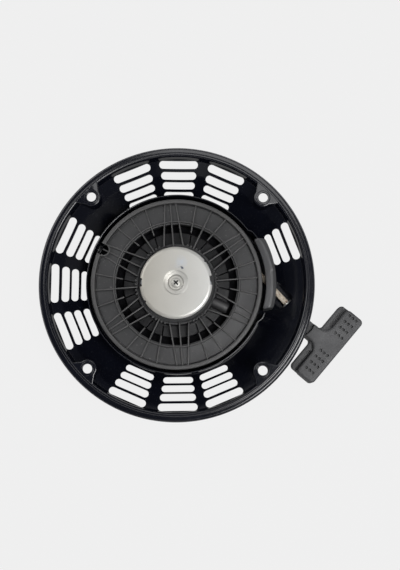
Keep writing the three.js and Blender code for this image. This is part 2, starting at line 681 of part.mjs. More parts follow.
for (const [letter, side] of [["a", 1], ["b", -1]]) {
  place("pawl_" + letter, pawl(side), turnedSteel());
  place("pawl_spring_" + letter, pawlSpring(side), springSteel());
}

export default group;
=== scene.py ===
"""Looks of a pull starter for a small engine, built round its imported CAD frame.

Lengths are in millimetres until a mesh is made, and in metres in Blender. The frame's origin is on the reel's
axis, on the case's flat outer face, and +Z points towards the engine.
"""

import math

import bmesh
import bpy
from mathutils import Matrix, Vector


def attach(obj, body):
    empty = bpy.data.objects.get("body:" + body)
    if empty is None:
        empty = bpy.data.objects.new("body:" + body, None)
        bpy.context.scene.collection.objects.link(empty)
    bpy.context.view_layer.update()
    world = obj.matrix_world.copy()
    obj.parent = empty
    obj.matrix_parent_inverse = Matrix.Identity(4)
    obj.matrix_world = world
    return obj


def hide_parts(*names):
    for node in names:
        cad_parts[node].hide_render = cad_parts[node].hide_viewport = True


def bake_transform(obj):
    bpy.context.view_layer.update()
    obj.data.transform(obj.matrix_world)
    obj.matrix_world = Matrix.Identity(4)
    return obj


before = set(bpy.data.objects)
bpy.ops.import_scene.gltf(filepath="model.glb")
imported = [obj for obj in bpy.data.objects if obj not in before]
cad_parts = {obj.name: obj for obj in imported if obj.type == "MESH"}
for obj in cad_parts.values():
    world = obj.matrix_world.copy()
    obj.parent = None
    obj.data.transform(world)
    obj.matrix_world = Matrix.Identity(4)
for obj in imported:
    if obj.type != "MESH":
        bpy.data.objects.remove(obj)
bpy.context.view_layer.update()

MM = 0.001
ROUND = 216  # sides of the large turned pieces

# ---- dimensions shared with the CAD, in millimetres ------------------------------------------------
SHEET = 1.5
CASE_R = 113.4
FLANGE_Z = 46.0
FLANGE_IN_R = 106.6
FLANGE_OUT_R = 108.3
HOLE_CENTRE_R = 71.0 * math.sqrt(2)  # four bolt holes on a square of 142
HOLE_R = 3.9
LOBE_R = 7.5
CONE_FOOT = (75.5, 15.6)
CONE_TOP = (105.0, 37.3)
PLATEAU_R = 58.0
FLOOR_Z = 15.2
FLOOR_OUT_R = 72.0
SLOT_ROWS = [(101.1, 32.6, 6.0), (93.1, 29.7, 5.9), (85.8, 27.3, 5.5), (78.6, 25.0, 5.2)]
SLOT_GROUPS = [66.5, 89.7, 112.3, 156.4, 180, 203.2, 247.3, 271.3, 293.5]
SHORT_GROUP = 21.4

REEL_R = 70.9
REEL_LOW = 16.7
REEL_TOP = 39.0
RIM_LIP = 3.3
REEL_BORE_R = 10.8
BAND_Z = 35.5
RIB_TOP = 37.6
RIB_THICK = 1.1
RECESS_Z = 30.0
TROUGH_IN_R = 44.0
TROUGH_Z = 24.0
HUB_R = 34.0
HUB_IN_R = 31.4
HUB_TOP = 35.2
HUB_FLOOR = 34.0
GROOVE = (18.5, 32.5)
DRUM_R = 51.9
SKIRT_R = 43.6
SKIRT_LOW = 4.5
SPRING_ROOM_R = 41.0
MID_RING_R = 52.8
NOTCH_DEG = 155.3
KNOT_DEG = -25.0
PAWL_PIVOT = (18.5, 9.5)
PAWL_DEG = -52.8

GUIDE_R = 29.8
GUIDE_TOP = 47.0

ROPE_R = 2.7
ROPE_Z = 23.0
ROPE_DEG = -47.0
ROPE_OFFSET = 57.5
OUTLET_S = 74.0
OUTLET_HALF = 7.0
OUTLET_FLOOR = 17.0

RING_R = 74.0
RING_END_R = 76.5
RING_TOP = 40.0
RING_DEG = (37.5, 335.5)

HANDLE = Vector((123.8, -48.3, 24.5))
HANDLE_DEG = -39.7
BAR_HALF = 33.25
BAR_OUT = 11.75
PLATE_Z = 10.5
CORE_Z = 6.0
STEM_HALF = 6.2
STEM_TIP = -28.0

STUDIO_HALF = 15000.0  # half the side of the studio floor
STUDIO_Z = -0.4


# ---- mesh helpers ----------------------------------------------------------------------------------
def polar(r, deg):
    return r * math.cos(math.radians(deg)), r * math.sin(math.radians(deg))


def arc(r, start, end, steps, centre=(0, 0)):
    """Points on an arc, both ends included."""
    found = []
    for i in range(steps + 1):
        x, y = polar(r, start + (end - start) * i / steps)
        found.append((centre[0] + x, centre[1] + y))
    return found


def turn(points, deg):
    c, s = math.cos(math.radians(deg)), math.sin(math.radians(deg))
    return [(c * x - s * y, s * x + c * y) for x, y in points]


def rounded(points, radii, steps=4):
    """A closed outline with its corners rounded; radii is one radius, or {index: radius}."""
    found = []
    count = len(points)
    for i, here in enumerate(points):
        radius = radii.get(i, 0) if isinstance(radii, dict) else radii
        p, a, b = Vector(here), Vector(points[i - 1]), Vector(points[(i + 1) % count])
        u, v = (a - p).normalized(), (b - p).normalized()
        corner = math.acos(max(-1, min(1, u.dot(v))))
        if radius <= 0 or corner > math.radians(176) or corner < 0.02:
            found.append(here)
            continue
        reach = min(radius / math.tan(corner / 2), 0.48 * (a - p).length, 0.48 * (b - p).length)
        radius = reach * math.tan(corner / 2)
        centre = p + (u + v).normalized() * (radius / math.sin(corner / 2))
        start, end = p + u * reach - centre, p + v * reach - centre
        sweep = math.atan2(start.x * end.y - start.y * end.x, start.dot(end))
        for k in range(steps + 1):
            c, s = math.cos(sweep * k / steps), math.sin(sweep * k / steps)
            found.append((centre.x + c * start.x - s * start.y, centre.y + s * start.x + c * start.y))
    return found


def make(name, verts, faces):
    """A mesh object with its faces turned outwards, from corners in millimetres."""
    mesh = bpy.data.meshes.new(name)
    mesh.from_pydata([(x * MM, y * MM, z * MM) for x, y, z in verts], [], faces)
    bm = bmesh.new()
    bm.from_mesh(mesh)
    bmesh.ops.remove_doubles(bm, verts=bm.verts, dist=1e-7)
    bmesh.ops.recalc_face_normals(bm, faces=bm.faces)
    bm.to_mesh(mesh)
    bm.free()
    obj = bpy.data.objects.new(name, mesh)
    bpy.context.scene.collection.objects.link(obj)
    return obj


def turned(name, profile, sides):
    """A closed (r, z) profile turned about Z."""
    verts, faces, rings = [], [], []
    for r, z in profile:
        if r < 1e-6:
            rings.append([len(verts)] * sides)
            verts.append((0, 0, z))
        else:
            rings.append(list(range(len(verts), len(verts) + sides)))
            verts += [(*polar(r, 360 * k / sides), z) for k in range(sides)]
    for a, b in zip(rings, rings[1:] + rings[:1]):
        for k in range(sides):
            n = (k + 1) % sides
            corner = list(dict.fromkeys((a[k], a[n], b[n], b[k])))
            if len(corner) > 2:
                faces.append(corner)
    return make(name, verts, faces)


def prism(name, outline, low, high):
    n = len(outline)
    verts = [(x, y, low) for x, y in outline] + [(x, y, high) for x, y in outline]
    faces = [list(range(n)), list(range(n, 2 * n))]
    faces += [(i, (i + 1) % n, n + (i + 1) % n, n + i) for i in range(n)]
    return make(name, verts, faces)


def swept(name, rings):
    """Closed sections of equal length joined one to the next, with flat ends."""
    n = len(rings[0])
    verts = [p for ring in rings for p in ring]
    faces = [list(range(n)), list(range(len(verts) - n, len(verts)))]
    for s in range(len(rings) - 1):
        a, b = s * n, (s + 1) * n
        faces += [(a + i, a + (i + 1) % n, b + (i + 1) % n, b + i) for i in range(n)]
    return make(name, verts, faces)


def settle(obj):
    """Turns an object's modifiers into its mesh."""
    graph = bpy.context.evaluated_depsgraph_get()
    mesh = bpy.data.meshes.new_from_object(obj.evaluated_get(graph))
    obj.modifiers.clear()
    obj.data = mesh
    return obj


def cut(obj, tool, operation="DIFFERENCE"):
    step = obj.modifiers.new("cut", "BOOLEAN")
    step.object, step.operation, step.solver = tool, operation, "EXACT"
    settle(obj)
    bpy.data.objects.remove(tool)
    return obj


def soften(obj, width, segments=2, deg=45, clamp=True):
    step = obj.modifiers.new("edges", "BEVEL")
    step.width, step.segments = width * MM, segments
    step.limit_method, step.angle_limit = "ANGLE", math.radians(deg)
    step.use_clamp_overlap = clamp
    return settle(obj)


def shade(obj, deg=34):
    obj.data.polygons.foreach_set("use_smooth", [True] * len(obj.data.polygons))
    obj.data.set_sharp_from_angle(angle=math.radians(deg))
    return obj


def merged(name, objs):
    """Several meshes in one object."""
    bm = bmesh.new()
    for o in objs:
        o.data.transform(o.matrix_world)
        bm.from_mesh(o.data)
        bpy.data.objects.remove(o)
    mesh = bpy.data.meshes.new(name)
    bm.to_mesh(mesh)
    bm.free()
    obj = bpy.data.objects.new(name, mesh)
    bpy.context.scene.collection.objects.link(obj)
    return obj


def moved(obj, deg=0.0, to=(0, 0, 0), tip=None):
    """Turns a mesh, first from along Z to along X if tip is set, then about Z, and moves it."""
    place = Matrix.Translation(Vector(to) * MM) @ Matrix.Rotation(math.radians(deg), 4, "Z")
    if tip:
        place = place @ Matrix.Rotation(math.pi / 2, 4, "Y")
    obj.data.transform(place)
    return obj


def wall(name, line, thick, low, high, edge):
    """A thin wall with a rounded top, standing along a line of points."""
    section = [(-thick / 2, low), (thick / 2, low)]
    section += [(thick / 2 - edge + x, high - edge + z) for x, z in arc(edge, 0, 90, 4)]
    section += [(-thick / 2 + edge + x, high - edge + z) for x, z in arc(edge, 90, 180, 4)]
    rings = []
    for i, here in enumerate(line):
        a, b = Vector(line[max(i - 1, 0)]), Vector(line[min(i + 1, len(line) - 1)])
        ahead = (b - a).normalized()
        side = Vector((-ahead.y, ahead.x))
        rings.append([(here[0] + side.x * s, here[1] + side.y * s, z) for s, z in section])
    return swept(name, rings)


def smooth_line(points, steps):
    """A Catmull-Rom curve through points."""
    points = [Vector(p) for p in points]
    ends = [2 * points[0] - points[1], *points, 2 * points[-1] - points[-2]]
    found = []
    for i in range(1, len(ends) - 2):
        a, b, c, d = ends[i - 1 : i + 3]
        for k in range(steps):
            t = k / steps
            square, cube = 2 * a - 5 * b + 4 * c - d, 3 * b - a - 3 * c + d
            found.append(0.5 * (2 * b + (c - a) * t + square * t * t + cube * t**3))
    return found + [points[-1]]


def braided(name, path, sides=24):
    """A braided rope along a path: a tube with its crossing strands standing proud."""
    pitch, strands, core, proud = 9.0, 6, 0.26, 0.24
    verts, faces, run = [], [], [0.0]
    for a, b in zip(path, path[1:]):
        run.append(run[-1] + (b - a).length)
    ahead = (path[1] - path[0]).normalized()
    side = ahead.cross(Vector((0, 0, 1))).normalized()
    for i, here in enumerate(path):
        ahead = (path[min(i + 1, len(path) - 1)] - path[max(i - 1, 0)]).normalized()
        side = (side - ahead * side.dot(ahead)).normalized()
        up = side.cross(ahead)
        for k in range(sides):
            angle = 2 * math.pi * k / sides
            wave = 2 * math.pi * run[i] / pitch * strands / 2
            weave = math.sin(strands * angle / 2 + wave) * math.sin(strands * angle / 2 - wave)
            radius = ROPE_R - core + proud * weave
            verts.append(here + (side * math.cos(angle) + up * math.sin(angle)) * radius)
    count = len(path)
    for i in range(count - 1):
        a, b = i * sides, (i + 1) * sides
        faces += [(a + k, a + (k + 1) % sides, b + (k + 1) % sides, b + k) for k in range(sides)]
    faces += [list(range(sides)), list(range((count - 1) * sides, count * sides))]
    return make(name, verts, faces)


def rope_point(along, across):
    dx, dy = polar(1, ROPE_DEG)
    return dx * along - dy * across, dy * along + dx * across


def handle_point(along, across, z=0.0):
    dx, dy = polar(1, HANDLE_DEG)
    return HANDLE + Vector((dx * along - dy * across, dy * along + dx * across, z))


def steps_along(start, end, pitch):
    start, end = Vector(start), Vector(end)
    count = max(2, int((end - start).length / pitch))
    return [start.lerp(end, i / count) for i in range(count + 1)]


# ---- materials -------------------------------------------------------------------------------------
def add(tree, kind, links=(), **values):
    node = tree.nodes.new(kind)
    for name, value in values.items():
        setattr(node, name, value)
    for socket, source in links:
        if isinstance(source, bpy.types.NodeSocket):
            tree.links.new(source, node.inputs[socket])
        else:
            node.inputs[socket].default_value = source
    return node


def grain(tree, scale, detail=4.0, roughness=0.55):
    """Noise over the piece's own coordinates; scale is features per metre."""
    where = add(tree, "ShaderNodeTexCoord").outputs["Object"]
    links = [("Vector", where), ("Scale", scale), ("Detail", detail), ("Roughness", roughness)]
    return add(tree, "ShaderNodeTexNoise", links).outputs["Fac"]


def spread(tree, source, low, high, start=0.3, end=0.7):
    links = [("Value", source), ("From Min", start), ("From Max", end), ("To Min", low), ("To Max", high)]
    return add(tree, "ShaderNodeMapRange", links).outputs["Result"]


def mixed(tree, amount, a, b):
    node = add(tree, "ShaderNodeMix", data_type="RGBA")
    for socket, value in ((node.inputs[0], amount), (node.inputs[6], a), (node.inputs[7], b)):
        if isinstance(value, bpy.types.NodeSocket):
            tree.links.new(value, socket)
        else:
            socket.default_value = value
    return node.outputs[2]


def colour(r, g, b):
    return (r, g, b, 1)


def distance(tree, where, centre):
    """Distance from a point given in millimetres, in metres."""
    links = [(0, where), (1, tuple(c * MM for c in centre))]
    return add(tree, "ShaderNodeVectorMath", links, operation="DISTANCE").outputs["Value"]


def base_colour(material):
    """The material's node tree, its shader and what is linked to its base colour."""
    tree = material.node_tree
    shader = tree.nodes["Principled BSDF"]
    return tree, shader, shader.inputs["Base Color"].links[0].from_socket


def finish(name, base, rough, metal=0.0, vary=0.12, patch=45, bump=0.1, fine=900, coat=0.0, spec=0.5,
           specks=None):
    """A material with patches of lighter and darker colour, uneven gloss, a fine surface and stray specks."""
    material = bpy.data.materials.new(name)
    material.use_nodes = True
    tree = material.node_tree
    shader = tree.nodes["Principled BSDF"]
    low, high = [tuple(min(1, c * k) for c in base) + (1,) for k in (1 - vary, 1 + vary)]
    shown = mixed(tree, spread(tree, grain(tree, patch), 0, 1), low, high)
    if specks:
        tint, amount, size = specks
        dots = spread(tree, grain(tree, size, 1.0, 0.4), 0, amount, 0.72, 0.76)
        shown = mixed(tree, dots, shown, tint)
    tree.links.new(shown, shader.inputs["Base Color"])
    gloss = spread(tree, grain(tree, patch * 2.3), rough * 0.85, min(1, rough * 1.2))
    tree.links.new(gloss, shader.inputs["Roughness"])
    shader.inputs["Metallic"].default_value = metal
    shader.inputs["Specular IOR Level"].default_value = spec
    shader.inputs["Coat Weight"].default_value = coat
    shader.inputs["Coat Roughness"].default_value = 0.05
    links = [("Height", grain(tree, fine, 3.0)), ("Strength", bump), ("Distance", 0.0004)]
    relief = add(tree, "ShaderNodeBump", links).outputs["Normal"]
    tree.links.new(relief, shader.inputs["Normal"])
    if coat:
        tree.links.new(relief, shader.inputs["Coat Normal"])
    return material


def gloss_paint():
    return finish("gloss_black_paint", (0.0032, 0.0037, 0.0066), 0.14, vary=0.25, patch=30, bump=0.04,
                  fine=260, coat=0.25, specks=(colour(0.10, 0.11, 0.13), 0.3, 1500))


def moulded(name, level, rough=0.5):
    return finish(name, (level, level, level * 1.02), rough, vary=0.13, patch=38, bump=0.32, fine=1900,
                  spec=0.42, specks=(colour(0.22, 0.21, 0.2), 0.45, 800))


def reel_finish():
    """Moulded plastic, lighter on the ribs and rim tops as painted light, darker and duller in the recesses
    as painted shade.
    """
    material = moulded("reel_plastic", 0.028, 0.42)
    tree, shader, source = base_colour(material)
    where = add(tree, "ShaderNodeTexCoord").outputs["Object"]
    height = add(tree, "ShaderNodeSeparateXYZ", [("Vector", where)]).outputs["Z"]
    # painted light: the tops of the ribs and rims are made lighter by their height
    painted_top_light = spread(tree, height, 0, 1, (BAND_Z + 0.6) * MM, (RIB_TOP - 0.1) * MM)
    source = mixed(tree, painted_top_light, source, colour(0.060, 0.059, 0.058))
    # painted shade: the recesses are made near black by their depth
    shade_from, shade_to = (RECESS_Z - 4) * MM, (BAND_Z - 1) * MM
    painted_recess_shade = spread(tree, height, 1, 0, shade_from, shade_to)
    source = mixed(tree, painted_recess_shade, source, colour(0.004, 0.004, 0.005))
    tree.links.new(source, shader.inputs["Base Color"])
    # painted shade in the recesses also cuts their specular level
    recess_shaded_shine = spread(tree, height, 0.03, 0.42, shade_from, shade_to)
    tree.links.new(recess_shaded_shine, shader.inputs["Specular IOR Level"])
    return material


def plated():
    """Zinc plate: pale and a little warm, paler towards +X as painted light, with a faint bluish patch, one
    dark mark and a screw cross darkened as painted shade.
    """
    material = finish("zinc_plate", (0.40, 0.38, 0.33), 0.38, metal=0.4, vary=0.05, patch=55, bump=0.06,
                      fine=700)
    tree, shader, source = base_colour(material)
    where = add(tree, "ShaderNodeTexCoord").outputs["Object"]
    parts = add(tree, "ShaderNodeSeparateXYZ", [("Vector", where)])
    # painted light: the plate is made paler towards +X, as if lit from that side
    painted_side_light = spread(tree, parts.outputs["X"], 0.0, 1.0, -0.030, 0.032)
    source = mixed(tree, painted_side_light, source, colour(0.56, 0.56, 0.535))
    wobble = add(tree, "ShaderNodeMath", [(0, grain(tree, 420)), (1, 0.009)], operation="MULTIPLY").outputs[0]
    for centre, amount, start, end, tint in (
        ((4.0, 16.5, GUIDE_TOP), 0.7, 0.0035, 0.0105, colour(0.46, 0.50, 0.56)),
        ((4.2, 13.0, GUIDE_TOP), 0.95, 0.0050, 0.0062, colour(0.05, 0.06, 0.09)),
    ):
        links = [(0, distance(tree, where, centre)), (1, wobble)]
        near = add(tree, "ShaderNodeMath", links, operation="ADD").outputs[0]
        source = mixed(tree, spread(tree, near, amount, 0.0, start, end), source, tint)
    # painted shade: the screw's cross recess is made near black round its floor
    cross = distance(tree, where, (0, 0, GUIDE_TOP - 2.9))
    source = mixed(tree, spread(tree, cross, 1.0, 0.0, 0.0022, 0.0027), source, colour(0.008, 0.008, 0.010))
    tree.links.new(source, shader.inputs["Base Color"])
    return material


def cord_fibre():
    """Cream braid with reddish-brown flecks."""
    material = finish("braided_rope", (0.60, 0.53, 0.43), 0.85, vary=0.18, patch=420, bump=0.5, fine=3800,
                      spec=0.2)
    tree, shader, source = base_colour(material)
    flecks = spread(tree, grain(tree, 520, 2.0), 0.0, 0.9, 0.60, 0.66)
    source = mixed(tree, flecks, source, colour(0.16, 0.045, 0.028))
    tree.links.new(source, shader.inputs["Base Color"])
    return material


PAINT = gloss_paint()
REEL_PLASTIC = reel_finish()
GUIDE_PLASTIC = moulded("guide_plastic", 0.082, 0.36)
HANDLE_PLASTIC = moulded("handle_plastic", 0.064, 0.5)
ZINC = plated()
BRIGHT = finish("zinc_fittings", (0.55, 0.54, 0.51), 0.3, metal=0.75, vary=0.12, patch=160, bump=0.1)
TURNED_STEEL = finish("turned_steel", (0.30, 0.31, 0.32), 0.34, metal=0.95, vary=0.2, patch=120, bump=0.12,
                      fine=1500)
SPRING_STEEL = finish("oiled_spring_steel", (0.15, 0.16, 0.19), 0.28, metal=0.95, vary=0.35, patch=200,
                      bump=0.08)
ROPE = cord_fibre()


def dress(obj, material, body, slot, *nodes):
    """Gives a finished piece its material and its body, and hides the CAD nodes it stands for; the slot
    argument is not used.
    """
    obj.data.materials.clear()
    obj.data.materials.append(material)
    if body:
        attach(obj, body)
    if nodes:
        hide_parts(*nodes)
    return obj


# ---- case ------------------------------------------------------------------------------------------
def inner_face():
    """The sheet's inner face as (r, z) points, from the axis to the flange."""
    return [
        (0, SHEET), (PLATEAU_R - 1, SHEET), (PLATEAU_R + 2, SHEET + 2.5), (PLATEAU_R + 4.5, FLOOR_Z - 1.7),
        (PLATEAU_R + 8, FLOOR_Z), (FLOOR_OUT_R, FLOOR_Z), CONE_FOOT, CONE_TOP,
        (FLANGE_IN_R - 1, FLANGE_Z - 1.9), (FLANGE_IN_R, FLANGE_Z),
    ]


def sheet_profile():
    """The case's sheet as one closed (r, z) outline, each corner with its rounding."""
    slope = (CONE_TOP[1] - CONE_FOOT[1]) / (CONE_TOP[0] - CONE_FOOT[0])
    lean = math.hypot(1, slope)
    sideways, down = SHEET * slope / lean, SHEET / lean
    inner = inner_face()
    rim = [
        ((FLANGE_OUT_R, FLANGE_Z), 0.5), ((109.0, FLANGE_Z - 0.8), 0.6), ((109.9, FLANGE_Z - 0.81), 0),
        ((111.1, FLANGE_Z - 0.82), 0), ((111.8, FLANGE_Z - 0.84), 0.9), ((113.0, FLANGE_Z - 1.75), 0.8),
        ((CASE_R, FLANGE_Z - 3.4), 1), ((CASE_R, FLANGE_Z - 5.5), 0.3),
        ((CASE_R - SHEET, FLANGE_Z - 5.5), 0.3), ((CASE_R - SHEET, FLANGE_Z - 3.8), 1),
        ((110.4, FLANGE_Z - 2.4), 1), ((107.9, FLANGE_Z - 2.2), 0.6), ((107.3, FLANGE_Z - SHEET), 0.6),
    ]
    outer = [
        ((CONE_TOP[0] + 1.9, CONE_TOP[1] - 0.4), 1), ((CONE_TOP[0] + sideways, CONE_TOP[1] - down), 3),
        ((CONE_FOOT[0] + sideways, CONE_FOOT[1] - down), 3), ((FLOOR_OUT_R, FLOOR_Z - SHEET), 3),
        ((PLATEAU_R + 8.6, FLOOR_Z - SHEET), 2), ((PLATEAU_R + 6.1, FLOOR_Z - SHEET - 0.9), 2),
        ((PLATEAU_R + 3.5, SHEET + 2.1), 2), ((PLATEAU_R + 0.2, 0), 1.5), ((0, 0), 0),
    ]
    inner_radii = [0, 1.5, 2, 1.5, 2, 3, 3, 2, 2.5, 1.3]
    points = inner + [point for point, _ in rim + outer]
    radii = dict(enumerate(inner_radii + [radius for _, radius in rim + outer]))
    return rounded(points, radii, 4)


def lobe_outline(inset):
    """Flat ear round a bolt hole at 0 degrees, with hollow corners where it leaves the flange."""
    hole = HOLE_CENTRE_R
    ear = arc(LOBE_R - inset, 96, 264, 16, (hole, 0))
    flare = 13.5 - inset
    corner = [(hole + 9, flare + 3), (hole + 5.2, flare - 1.5), (hole + 1.5, LOBE_R - inset)]
    upper = rounded(corner, {1: 3.0}, 6)[1:-1]
    lower = [(x, -y) for x, y in reversed(upper)]
    return [(hole + 9, flare + 3), *upper, *ear, *lower, (hole + 9, -flare - 3)]


def outlet_outline(grow):
    """The pocket in the cone through which the rope leaves, seen from above."""
    corners = [(45, 1), (OUTLET_S + grow, 1), (OUTLET_S + grow, -1), (58, -1)]
    shown = [rope_point(along, ROPE_OFFSET + side * (OUTLET_HALF + grow)) for along, side in corners]
    return rounded(shown, {1: 4 + grow, 2: 4 + grow}, 8)


def add_outlet(cover):
    outer = prism("outlet_outer", outlet_outline(SHEET), OUTLET_FLOOR - SHEET, FLANGE_Z)
    cut(outer, turned("below", [*inner_face(), (FLANGE_IN_R, -5), (0, -5)], 120), "INTERSECT")
    cut(cover, outer, "UNION")
    cut(cover, prism("outlet_inner", outlet_outline(0), OUTLET_FLOOR, FLANGE_Z + 5))


def add_lobes(cover):
    """Flat ears round the bolt holes, hollow behind, each with a pressed bead round its hole."""
    ears, hollows, beads = [], [], []
    ear_edge, keep_r = FLANGE_IN_R + 0.4, FLANGE_IN_R + 0.9
    for deg in (45, 135, 225, 315):
        x, y = polar(HOLE_CENTRE_R, deg)
        ear = prism("ear", turn(lobe_outline(0), deg), 5, FLANGE_Z - 0.002)
        ears.append(soften(ear, 0.9, 4, 50, False))
        hollows.append(prism("hollow", turn(lobe_outline(SHEET), deg), -5, FLANGE_Z - SHEET))
        section = [(3.4, -0.4), (6.0, -0.4), (6.0, 0.05), (5.4, 0.4), (4.3, 0.4), (3.4, -0.1)]
        bead = rounded([(r, FLANGE_Z + z) for r, z in section], 0.25, 3)
        beads.append(moved(turned("bead", bead, 40), to=(x, y, 0)))
    ceiling = [(60, CONE_FOOT[1]), (CONE_FOOT[0], CONE_FOOT[1] - 0.6), (CONE_TOP[0], CONE_TOP[1] - 0.6),
               (ear_edge, FLANGE_Z - 0.6), (ear_edge, FLANGE_Z + 2), (60, FLANGE_Z + 2)]
    ear = cut(merged("ears", ears), turned("ceiling", ceiling, 120), "INTERSECT")
    cut(cover, ear, "UNION")
    keep_in = turned("keep_in", [(0, -6), (keep_r, -6), (keep_r, FLANGE_Z), (0, FLANGE_Z)], 120)
    cut(cover, cut(merged("hollows", hollows), keep_in, "INTERSECT"))
    cut(cover, merged("beads", beads), "UNION")


def case_cover():
    cover = turned("case_shell", sheet_profile(), ROUND)
    add_outlet(cover)
    add_lobes(cover)
    cutters = []
    for deg in (45, 135, 225, 315):
        x, y = polar(HOLE_CENTRE_R, deg)
        low, high = FLANGE_Z - 6, FLANGE_Z + 6
        hole = turned("hole", [(0, low), (HOLE_R, low), (HOLE_R, high), (0, high)], 36)
        cutters.append(moved(hole, to=(x, y, 0)))
    for r, length, width in SLOT_ROWS:
        groups = SLOT_GROUPS if r == SLOT_ROWS[-1][0] else [*SLOT_GROUPS, SHORT_GROUP]
        half = (length - width) / 2
        ends = arc(width / 2, 0, 180, 10, (0, half)) + arc(width / 2, 180, 360, 10, (0, -half))
        for deg in groups:
            cutters.append(prism("slot", turn([(x + r, y) for x, y in ends], deg), -5, FLANGE_Z + 5))
    cut(cover, merged("cutters", cutters))
    ex, ey = rope_point(OUTLET_S, ROPE_OFFSET)
    bore = turned("bore", [(0, -4), (4.2, -4), (4.2, 4), (0, 4)], 32)
    cut(cover, moved(bore, ROPE_DEG, (ex, ey, ROPE_Z), tip=True))
    return dress(shade(cover, 30), PAINT, "case", "case_paint", "case_cover")


def guard_ring():
    """The ring round the reel, whose ends jog outwards beside the rope guide, and its welded foot."""
    start, end = RING_DEG
    first = [polar(RING_END_R, 32.4), polar(76.3, 34.4), polar(75.4, 35.9), polar(RING_R, start)]
    last = [polar(RING_R, end), polar(75.4, end + 1.6), polar(76.3, end + 3.2), polar(RING_END_R, end + 6.5)]
    line = [polar(77, 29.5), polar(76.6, 31.8)]
    line += [tuple(p) for p in smooth_line(first, 4)]
    line += arc(RING_R, start + 1, end - 1, 220)
    line += [tuple(p) for p in smooth_line(last, 4)]
    made = wall("reel_guard_ring", line, 1.1, FLOOR_Z + 0.7, RING_TOP, 0.45)
    foot = wall("foot", arc(RING_R - 1.1, start, end, 200), 2.8, FLOOR_Z + 0.35, FLOOR_Z + 1.5, 0.4)
    made = merged("reel_guard_ring", [made, foot])
    return dress(shade(made), PAINT, "case", "case_paint", "guard_ring")


def rope_guide():
    """The arched plastic bridge over the rope: a section of two sloping faces, swept round the reel.

    Both ends are cut aslant, so the inner edge spans more degrees than the outer one.
    """
    stations, feet_z, arch_z = 64, 15.8, 28.5
    inner_start, inner_end, outer_start, outer_end = 30.6, -15.8, 27.8, -13.3
    arch_start, arch_end = -8.5, 22
    rings = []
    for i in range(stations + 1):
        s = i / stations
        inner_deg = inner_start + (inner_end - inner_start) * s
        outer_deg = outer_start + (outer_end - outer_start) * s
        bridged = arch_start < (inner_deg + outer_deg) / 2 < arch_end
        lower = arch_z if bridged else feet_z
        slant = arch_z if bridged else 21.4
        end = min(s, 1 - s) * stations
        inset = 0.7 * max(0, 1 - end / 2) ** 2
        joint = s > 0.47
        crest = 77.0 + (0.9 if joint else 1.6 * s / 0.47)
        top = RING_TOP + (0.45 if joint else 0.9) - inset
        inside, outside = 74.0 + inset, 82.4 - inset
        section = rounded(
            [(inside, lower), (outside, slant), (outside, top - 3.1), (crest + 1.8, top - 0.25), (crest, top),
             (inside, top - 2.4)], {1: 0.3, 2: 1.2, 3: 0.7, 4: 0.7, 5: 0.9}, 3)
        ring = []
        for r, z in section:
            share = (r - 73.8) / 8.8
            ring.append((*polar(r, inner_deg + (outer_deg - inner_deg) * share), z))
        rings.append(ring)
    return dress(shade(swept("rope_bridge", rings), 40), GUIDE_PLASTIC, "case", "guide_plastic", "rope_guide")


def rope_eyelet():
    s = OUTLET_S
    profile = [(3.1, s - 1.4), (4.8, s - 1.4), (4.8, s - 0.3), (3.9, s - 0.3), (3.9, s + 1.8), (4.8, s + 1.8),
               (4.8, s + 2.9), (3.1, s + 2.9)]
    ox, oy = rope_point(0, ROPE_OFFSET)
    made = moved(turned("eyelet", rounded(profile, 0.5, 5), 48), ROPE_DEG, (ox, oy, ROPE_Z), tip=True)
    return dress(shade(made, 40), BRIGHT, "case", "zinc_plate", "rope_eyelet")


def centre_screw():
    seat = GUIDE_TOP - 2
    profile = [(0, 31), (2.3, 31), (2.3, seat), (4.2, seat), (4.2, seat + 0.7), (2.9, seat + 1.3),
               (0, seat + 1.5)]
    made = turned("cover_screw", rounded(profile, {3: 0.3, 4: 0.7, 5: 1.5}, 4), 48)
    arm = [(-2.5, -0.55), (2.5, -0.55), (2.5, 0.55), (-2.5, 0.55)]
    arms = [prism("arm", turn(arm, deg), seat - 0.9, seat + 4) for deg in (45, 135)]
    for arm in arms:
        cut(made, arm)
    return dress(shade(made, 35), ZINC, "case", "zinc_plate", "centre_screw")


